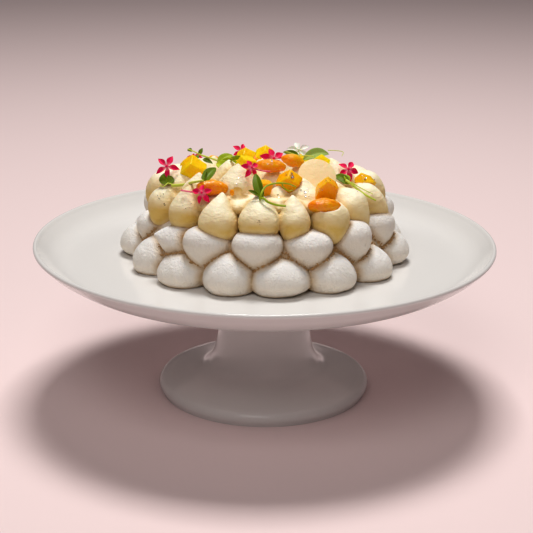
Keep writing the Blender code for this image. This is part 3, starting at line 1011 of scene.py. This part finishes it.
def makeCitrus(nodeName, values, pattern):
    piece = copyOf(pattern, nodeName.replace("_", "Segment"))
    piece.scale = values["size"]
    settle(piece)
    addSubdivision(piece, 2)
    roughen(piece, lumps, citrusFinish["lumps"])
    roughen(piece, dimples, citrusFinish["dimples"])
    applyModifiers(piece)
    piece.rotation_euler = inRadians(values["turn"])
    piece.location = middleOf(nodeName) + Vector(values.get("shift", (0, 0, 0)))
    settle(piece)
    smooth(piece)
    finishPiece(piece, citrusFlesh, "citrus", nodeName)


citrusPattern = segmentPattern()
for nodeName, values in citrusSegments.items():
    makeCitrus(nodeName, values, citrusPattern)
throwAway(citrusPattern)
print("fruit cut")


# the bare white chocolate disc

discValues = {"radius": 0.0130, "thickness": 0.0018, "bevel": 0.0005, "turn": (48, 0, 12)}


def makeDisc(values):
    deselectAll()
    bpy.ops.mesh.primitive_cylinder_add(
        vertices=72, radius=values["radius"], depth=values["thickness"],
        location=middleOf("chocolate_disc"), rotation=inRadians(values["turn"]),
    )
    disc = named("whiteChocolateDisc")
    settle(disc)
    addModifier(disc, "BEVEL", width=values["bevel"], segments=3, limit_method="ANGLE")
    applyModifiers(disc)
    smooth(disc, 35)
    finishPiece(disc, whiteChocolate, "white_chocolate", "chocolate_disc")


makeDisc(discValues)


# a drop of syrup left in the spoon's dent: centre and half sizes
dropValues = ((-0.0215, -0.0530, 0.1575), (0.0016, 0.0012, 0.0022))
syrupDrop = ball("syrupDrop", *dropValues, segments=16, rings=10)
smooth(syrupDrop)
finishPiece(syrupDrop, citrusFlesh, "citrus")


# petals and leaves: a grid shaped row by row, its midrib folded down

petalShape = {
    "widths": [0.24, 0.44, 0.74, 0.96, 1.0, 0.88, 0.64, 0.36, 0.05], "fold": 0.16, "curl": 0.10, "columns": 4,
}
leafShape = {
    "widths": [0.10, 0.46, 0.78, 0.96, 1.0, 0.95, 0.82, 0.62, 0.38, 0.05], "fold": 0.12, "curl": 0.16,
    "columns": 6,
}
roundLeafShape = {
    "widths": [0.20, 0.68, 0.92, 1.0, 1.0, 0.96, 0.84, 0.62, 0.20], "fold": 0.10, "curl": 0.22, "columns": 6,
}


def bladePattern(name, shape):
    # one unit long from its base at the origin along +Y, and at most one wide
    rows = len(shape["widths"])
    deselectAll()
    bpy.ops.mesh.primitive_grid_add(
        x_subdivisions=shape["columns"], y_subdivisions=rows - 1, size=1, location=(0, 0.5, 0)
    )
    pattern = named(name)
    settle(pattern)
    bpy.ops.object.mode_set(mode="EDIT")
    cage = bmesh.from_edit_mesh(pattern.data)
    for index, width in enumerate(shape["widths"]):
        along = index / (rows - 1)
        selectOnly(pattern, cage, [vert for vert in cage.verts if abs(vert.co.y - along) < 0.01])
        bpy.ops.transform.resize(value=(width, 1, 1), center_override=(0, along, 0))
        bpy.ops.transform.translate(value=(0, 0, -shape["curl"] * (1.6 * along - 0.6) ** 2))
    # the midrib goes down, and the sides follow it
    selectOnly(pattern, cage, [vert for vert in cage.verts if abs(vert.co.x) < 0.01])
    bpy.ops.transform.translate(
        value=(0, 0, -shape["fold"]), use_proportional_edit=True, proportional_edit_falloff="LINEAR",
        proportional_size=0.5,
    )
    bpy.ops.object.mode_set(mode="OBJECT")
    return pattern


def blade(pattern, name, long, wide, thick):
    piece = copyOf(pattern, name)
    piece.scale = (wide, long, long)
    settle(piece)
    addSubdivision(piece, 1)
    addModifier(piece, "SOLIDIFY", thickness=thick, offset=0)
    applyModifiers(piece)
    return piece


petalPattern = bladePattern("petalPattern", petalShape)
leafPattern = bladePattern("leafPattern", leafShape)
roundLeafPattern = bladePattern("roundLeafPattern", roundLeafShape)

# facing and spin in degrees, size, and the angle in degrees that the petals fold back
flowers = {
    "flower_1": {"face": (54, 0, -6), "spin": -25, "size": 1.10, "back": 12, "shift": (-0.0018, 0, -0.0004)},
    "flower_2": {
        "face": (66, 0, -18), "spin": 10, "size": 1.0, "back": 20, "tube": 0.016,
        "tubeTo": (-1.0, 0.05, -0.25), "shift": (-0.0010, -0.0015, -0.0014),
    },
    "flower_3": {
        "face": (58, 0, 24), "spin": 3, "size": 0.92, "back": 22, "tube": 0.014,
        "tubeTo": (1.0, -0.20, -0.30), "shift": (0.0006, 0, -0.0008),
    },
    "flower_4": {
        "face": (60, 0, 6), "spin": 12, "size": 1.15, "back": 8, "tube": 0.012,
        "tubeTo": (1.0, 0.18, -0.20), "shift": (-0.0010, -0.0060, 0.0006),
    },
    "flower_5": {"face": (52, 0, 10), "spin": -33, "size": 1.08, "back": 14, "shift": (-0.0010, 0, -0.0006)},
    "flower_6": {
        "face": (60, 0, 20), "spin": 40, "size": 0.90, "back": 18, "shift": (0.0042, 0.008, -0.0030),
    },
    "flower_7": {"face": (-40, 0, 20), "spin": 0, "size": 0.95, "back": 14},
    "flower_8": {"face": (-45, 0, -20), "spin": 25, "size": 0.95, "back": 14},
    "flower_white": {"face": (42, 0, 6), "spin": 10, "size": 1.1, "back": 4, "shift": (0.0010, 0, 0.0014)},
}
# what the flowers share unless one has its own: lengths, and the way the tube bends
flowerShape = {
    "petalLong": 0.0076, "petalWide": 0.0038, "petalThick": 0.00018, "throat": 0.0006, "eye": 0.0009,
    "eyeFlat": 0.55, "tubeRadius": 0.00042, "tube": 0.006, "tubeTo": (0.15, -0.20, -1.0),
    "shift": (0, 0, 0), "lift": 0.0008,
}


def tubeAlong(name, points, startRadius, endRadius, steps=6, sides=2):
    # a round stem through given points
    line = throughPoints(points, steps)
    curve = bpy.data.curves.new(name, "CURVE")
    curve.dimensions = "3D"
    curve.bevel_depth = 1.0
    curve.bevel_resolution = sides
    curve.use_fill_caps = True
    spline = curve.splines.new("POLY")
    spline.points.add(len(line) - 1)
    for index, point in enumerate(line):
        spline.points[index].co = (*point, 1.0)
        spline.points[index].radius = startRadius + (endRadius - startRadius) * index / (len(line) - 1)
    piece = bpy.data.objects.new(name, curve)
    scene.collection.objects.link(piece)
    pick(piece)
    bpy.ops.object.convert(target="MESH")
    piece = bpy.context.active_object
    cleanNormals(piece, 0.000002)
    return piece


def makeFlower(nodeName, values, dice):
    size = values["size"]
    parts = []
    for index in range(5):
        petal = blade(
            petalPattern, "petal", values["petalLong"] * size * dice.uniform(0.9, 1.08),
            values["petalWide"] * size * dice.uniform(0.9, 1.1), values["petalThick"],
        )
        turn = turned(values["spin"] + 72 * index + dice.uniform(-7, 7), "Z")
        back = turned(-values["back"] + dice.uniform(-8, 8), "X")
        petal.matrix_world = (
            turn @ Matrix.Translation((0, values["throat"] * size, 0)) @ back
            @ Matrix.Rotation(dice.uniform(-0.25, 0.25), 4, "Y")
        )
        settle(petal)
        parts.append(petal)
    eye = values["eye"] * size
    parts.append(ball("eye", (0, 0, 0), (eye, eye, eye * values["eyeFlat"]), segments=12, rings=8))
    # the tube bends away from the back of the star
    end = Vector(values["tubeTo"]) * values["tube"]
    sag = Vector((0, 0, -0.12 * values["tube"]))
    thin = values["tubeRadius"] * size
    path = [(0, 0, 0), end * 0.33 + sag, end * 0.68 + sag, end]
    parts.append(tubeAlong("flowerTube", path, thin, thin * 1.5))
    piece = joinAll(parts, nodeName.replace("_", ""))
    face = Euler(inRadians(values["face"])).to_matrix().to_4x4()
    lift = face @ Vector((0, 0, values["lift"])) + Vector(values["shift"])
    piece.matrix_world = Matrix.Translation(middleOf(nodeName) + lift) @ face
    settle(piece)
    smooth(piece, 60)
    white = nodeName == "flower_white"
    finishPiece(piece, whitePetal if white else pinkPetal, "white_petal" if white else "pink_petal", nodeName)


petalDice = random.Random(5)
for nodeName, values in flowers.items():
    makeFlower(nodeName, {**flowerShape, **values}, petalDice)
print("flowers placed")


# pea shoots: blades from a start to an end in millimetres with a width, and stems through points

pressed = (0, -0.75, 0.65)
herbBlades = {
    "darkLeaves": {
        "material": darkLeaf,
        "blades": [
            ("round", (-65.3, -24, 155.9), (-70.4, -18, 160.6), 8.0, (-0.3, -0.8, 0.5)),
            ("round", (-65.3, -24, 155.9), (-62.3, -20, 159.6), 5.5, (0.3, -0.8, 0.6)),
            ("long", (-40.5, -50, 164.2), (-33.4, -38, 172.3), 7.5, (-0.2, -0.8, 0.4)),
            ("long", (-40.3, -50, 164.2), (-40.3, -44, 169.6), 4.5, (-0.7, -0.7, 0.2)),
            ("long", (-52.2, 26, 166.5), (-55.2, 30, 167.6), 3.2, pressed),
            ("long", (-46.5, 18, 165.4), (-44.6, 20, 169.8), 3.0, pressed),
            ("long", (-47.2, 18, 166.1), (-48.0, 14, 163.6), 2.6, pressed),
            ("long", (-44.1, 12, 164.7), (-37.8, 8, 163.4), 3.6, pressed),
            ("round", (-2.2, -69, 157.6), (-6.9, -60, 171.4), 6.2, (-0.15, -0.9, 0.35)),
            ("long", (-3.2, -69, 159.9), (-10.2, -66, 162.9), 2.4, (0, -0.8, 0.5)),
            ("long", (23.9, 10, 167.3), (13.2, 14, 170.4), 5.0, pressed),
            ("round", (55.9, -29, 158.8), (47.6, -23, 163.2), 6.2, (-0.1, -0.7, 0.7)),
        ],
    },
    "brightLeaves": {
        "material": brightLeaf,
        "blades": [
            ("round", (-33.3, 0, 164.9), (-24.4, 4, 170.2), 6.6, (0, -0.6, 0.8)),
            ("round", (-33.9, -2, 165.5), (-24.0, -7, 162.4), 7.0, (-0.1, -0.7, 0.7)),
            ("long", (-31.9, 0, 166.6), (-19.5, -6, 166.6), 6.0, (0, -0.7, 0.7)),
            ("long", (-28.3, -4, 166.9), (-14.2, -14, 173.0), 3.4, (0.1, -0.8, 0.6)),
            ("long", (55.9, -28, 158.8), (53.8, -24, 163.4), 4.4, (0.2, -0.7, 0.6)),
        ],
    },
    "frostedLeaves": {
        "material": frostedLeaf,
        "blades": [("round", (27.0, 10, 167.0), (43.4, 20, 170.6), 8.4, (0, -0.65, 0.75))],
    },
}
# points in millimetres, then the radius at the start and at the end
herbStems = [
    ([(-65.3, -24, 155.9), (-68.4, -27, 154.2), (-70.7, -24, 154.8)], 0.40, 0.25),
    ([(-65.3, -24, 155.9), (-61.8, -26, 155.4), (-59.0, -28, 154.6)], 0.40, 0.30),
    ([(-62.5, -26, 154.6), (-54.2, -31, 156.6), (-47.4, -43, 161.4), (-40.5, -50, 164.4)], 1.15, 0.70),
    ([(-44.1, 12, 166.5), (-38.5, 9, 165.6), (-32.7, 2, 165.2)], 0.60, 0.70),
    ([(-54.8, 28, 167.3), (-50.3, 24, 166.5), (-45.8, 18, 165.8), (-42.1, 14, 165.7)], 0.45, 0.55),
    ([(13.8, 14, 169.6), (23.2, 10, 167.6), (28.0, 10, 167.7), (33.5, 8, 167.5)], 0.30, 0.40),
    ([(43.6, 20, 169.2), (49.3, 22, 168.6), (54.3, 22, 167.6), (53.4, 18, 165.7)], 0.30, 0.22),
    ([(54.0, -27, 159.6), (56.6, -29, 158.4), (61.3, -30, 154.7), (67.2, -33, 151.2),
      (73.9, -34, 147.8)], 1.00, 0.60),
    ([(58.0, -28, 158.3), (64.6, -31, 155.0), (71.8, -33, 151.9)], 0.45, 0.28),
]
tendrilStems = [
    ([(-2.6, -69, 158.2), (-0.6, -71, 158.4), (1.9, -72, 156.4), (7.1, -71, 154.3),
      (13.4, -71, 153.6)], 0.80, 0.72),
    ([(-3.2, -68, 156.8), (-2.6, -69, 160.2), (-1.3, -66, 162.7), (0.6, -63, 164.3), (4.4, -60, 165.2),
      (8.9, -58, 165.4), (13.5, -57, 164.8), (16.7, -56, 163.9), (20.0, -56, 162.3)], 0.80, 0.36),
    ([(10.9, -58, 165.1), (12.2, -58, 162.1), (15.5, -58, 160.1), (18.0, -57, 160.5)], 0.45, 0.30),
]


def layBlade(kind, start, end, wide, facing, index):
    # along +Y from its start to its end, its +Z the way it faces
    start = Vector(start) * millimetre
    end = Vector(end) * millimetre
    pattern = leafPattern if kind == "long" else roundLeafPattern
    # a blade is a little longer than its line, because it curls
    long = 1.12 * (end - start).length
    piece = blade(pattern, f"{kind}Blade{index}", long, wide * millimetre, 0.00025)
    along = (end - start).normalized()
    across = along.cross(Vector(facing)).normalized()
    turn = Matrix((across, along, across.cross(along))).transposed().to_4x4()
    piece.matrix_world = Matrix.Translation(start) @ turn
    settle(piece)
    return piece


for name, values in herbBlades.items():
    laid = [layBlade(*bladeValues, index) for index, bladeValues in enumerate(values["blades"])]
    leaves = joinAll(laid, name)
    smooth(leaves)
    finishPiece(leaves, values["material"], "herb_green")
herbRuns = (("herbStems", herbStems, stemGreen), ("herbTendrils", tendrilStems, tendrilGreen))
for name, runs, material in herbRuns:
    stems = []
    for points, startRadius, endRadius in runs:
        path = [Vector(point) * millimetre for point in points]
        stems.append(tubeAlong("stem", path, startRadius * millimetre, endRadius * millimetre))
    shoots = joinAll(stems, name)
    smooth(shoots)
    finishPiece(shoots, material, "herb_green")
for pattern in (petalPattern, leafPattern, roundLeafPattern):
    throwAway(pattern)
print("herbs laid")


# silver leaf and dark specks, strewn in loose groups; one group of specks is painted shade, dark dots where
# the cream has small holes

# middle of a group in millimetres, how many, how far they spread and how big they are
silverGroups = [
    ((16, -46, 168), 7, 3.0, 1.5), ((20, -52, 160), 6, 4.5, 0.9), ((26, -50, 157), 8, 4.5, 0.9),
    ((9, -54, 156), 5, 3.5, 0.9), ((41, -52, 166), 4, 3.0, 0.7), ((4, -30, 175), 7, 5.0, 0.9),
    ((66, -16, 158), 6, 4.0, 1.0), ((76, -4, 152), 6, 5.0, 0.9), ((60, -22, 157), 4, 5.0, 0.7),
    ((-40, -20, 160), 4, 6.0, 0.7), ((30, -30, 163), 4, 5.0, 0.7), ((-20, -40, 160), 5, 8.0, 0.7),
    ((34, -58, 160), 5, 3.0, 0.8), ((-30, -40, 164), 4, 4.0, 0.8),
    ((0, 40, 158), 14, 28.0, 0.8), ((-60, 20, 152), 6, 14.0, 0.7),
]
speckGroups = [
    ((-77, -8, 148), 5, 3.0, 0.42), ((-71, -29, 147), 5, 2.5, 0.45), ((-68, -31, 143), 2, 2.0, 0.45),
    # the group at (-3, -84, 146) is painted shade for a line of small holes
    ((-78, -14, 130), 1, 0.5, 0.70), ((-3, -84, 146), 5, 2.4, 0.30), ((-70, -20, 156), 4, 6.0, 0.30),
    ((-52, -55, 150), 5, 8.0, 0.25), ((60, -35, 152), 5, 9.0, 0.25), ((0, 30, 160), 16, 40.0, 0.28),
]


def flakePattern():
    # a crumpled scrap of leaf
    deselectAll()
    bpy.ops.mesh.primitive_grid_add(x_subdivisions=3, y_subdivisions=3, size=1)
    pattern = named("silverPattern")
    dice = random.Random(3)
    for vert in pattern.data.vertices:
        vert.co += Vector([dice.uniform(-0.16, 0.16) for _ in range(3)])
    return pattern


def speckPattern():
    deselectAll()
    bpy.ops.mesh.primitive_ico_sphere_add(subdivisions=1, radius=1)
    return named("speckPattern")


def strew(groups, pattern, surfaces, dice, name, flat):
    # each scrap lies on the nearest surface, at a slight tilt
    scraps = []
    for middle, count, spread, size in groups:
        for _ in range(count):
            away = Vector((dice.gauss(0, 0.5), dice.gauss(0, 0.5), dice.gauss(0, 0.3))) * spread
            aim = (Vector(middle) + away) * millimetre
            hits = [surface.find_nearest(aim) for surface in surfaces]
            place, normal, _, _ = min(hits, key=lambda hit: hit[3])
            scrap = copyOf(pattern, "scrap")
            grow = size * dice.uniform(0.6, 1.3) * millimetre
            stand = normal.to_track_quat("Z", "Y").to_matrix().to_4x4()
            tilt = Euler((dice.uniform(-0.35, 0.35), dice.uniform(-0.35, 0.35), dice.uniform(0, math.tau)))
            squash = Matrix.Diagonal((grow, grow * dice.uniform(0.5, 1.0), grow * flat, 1.0))
            lift = Matrix.Translation(place + normal * grow * flat * 0.35)
            scrap.data.transform(lift @ stand @ tilt.to_matrix().to_4x4() @ squash)
            scraps.append(scrap)
    throwAway(pattern)
    return joinAll(scraps, name)


strewDice = random.Random(77)
toppings = [
    surfaceOf(piece) for piece in bpy.data.objects if piece.name.startswith(("mangoPiece", "citrusSegment"))
]
flakes = strew(silverGroups, flakePattern(), [creamSurface] + toppings, strewDice, "silverFlakes", 0.6)
addModifier(flakes, "SOLIDIFY", thickness=0.00006, offset=1)
applyModifiers(flakes)
smooth(flakes, 30)
finishPiece(flakes, silverLeaf, "silver_leaf")
specks = strew(speckGroups, speckPattern(), [creamSurface, surfaceOf(meringue)], strewDice, "darkSpecks", 0.5)
smooth(specks)
finishPiece(specks, speckAndHoleShade, "dark_speck")
print("silver and specks strewn")


# stage, light and camera

studio = {
    "floorSize": 40, "floorBack": 4, "floorColour": (0.80, 0.64, 0.64, 1.0),
    "skyColour": (1.0, 0.86, 0.86, 1.0), "skyStrength": 0.07, "aim": (0, 0, 0.12),
}
# place, size, power and colour
areaLights = {
    "keyLight": ((0.05, 0.50, 2.05), 0.62, 40.0, (1.0, 0.98, 0.95)),
    "frontFill": ((-0.25, -1.25, 1.5), 0.9, 11.0, (1.0, 0.96, 0.92)),
}
cameraView = {"place": (0.00137, -0.900, 0.38217), "tilt": 72.005, "roll": 0.53, "lens": 90.87}


def makeFloor(values):
    deselectAll()
    bpy.ops.mesh.primitive_plane_add(size=values["floorSize"])
    floor = named("studioFloor")
    floor.location.y = values["floorBack"]
    settle(floor)
    material, _, _ = newMaterial("studioFloor", Roughness=0.75, Base_Color=values["floorColour"])
    floor.data.materials.append(material)


def addAreaLight(name, place, size, power, colour):
    deselectAll()
    bpy.ops.object.light_add(type="AREA", location=place)
    light = named(name)
    light.data.size = size
    light.data.energy = power
    light.data.color = colour
    light.rotation_euler = (Vector(studio["aim"]) - Vector(place)).to_track_quat("-Z", "Y").to_euler()


def makeSky(values):
    world = bpy.data.worlds.new("studioWorld")
    world.use_nodes = True
    background = world.node_tree.nodes["Background"]
    feedAll(world.node_tree, background, {"Color": values["skyColour"], "Strength": values["skyStrength"]})
    scene.world = world
    scene.view_settings.view_transform = "Standard"


def makeCamera(view):
    deselectAll()
    bpy.ops.object.camera_add(location=view["place"])
    camera = named("camera")
    camera.rotation_euler = (turned(view["tilt"], "X") @ turned(view["roll"], "Z")).to_euler()
    camera.data.lens = view["lens"]
    camera.data.sensor_width = 36
    camera.data.clip_start = 0.01
    camera.data.dof.use_dof = False
    scene.camera = camera


makeFloor(studio)
for name, values in areaLights.items():
    addAreaLight(name, *values)
makeSky(studio)
makeCamera(cameraView)
print("stage lit")
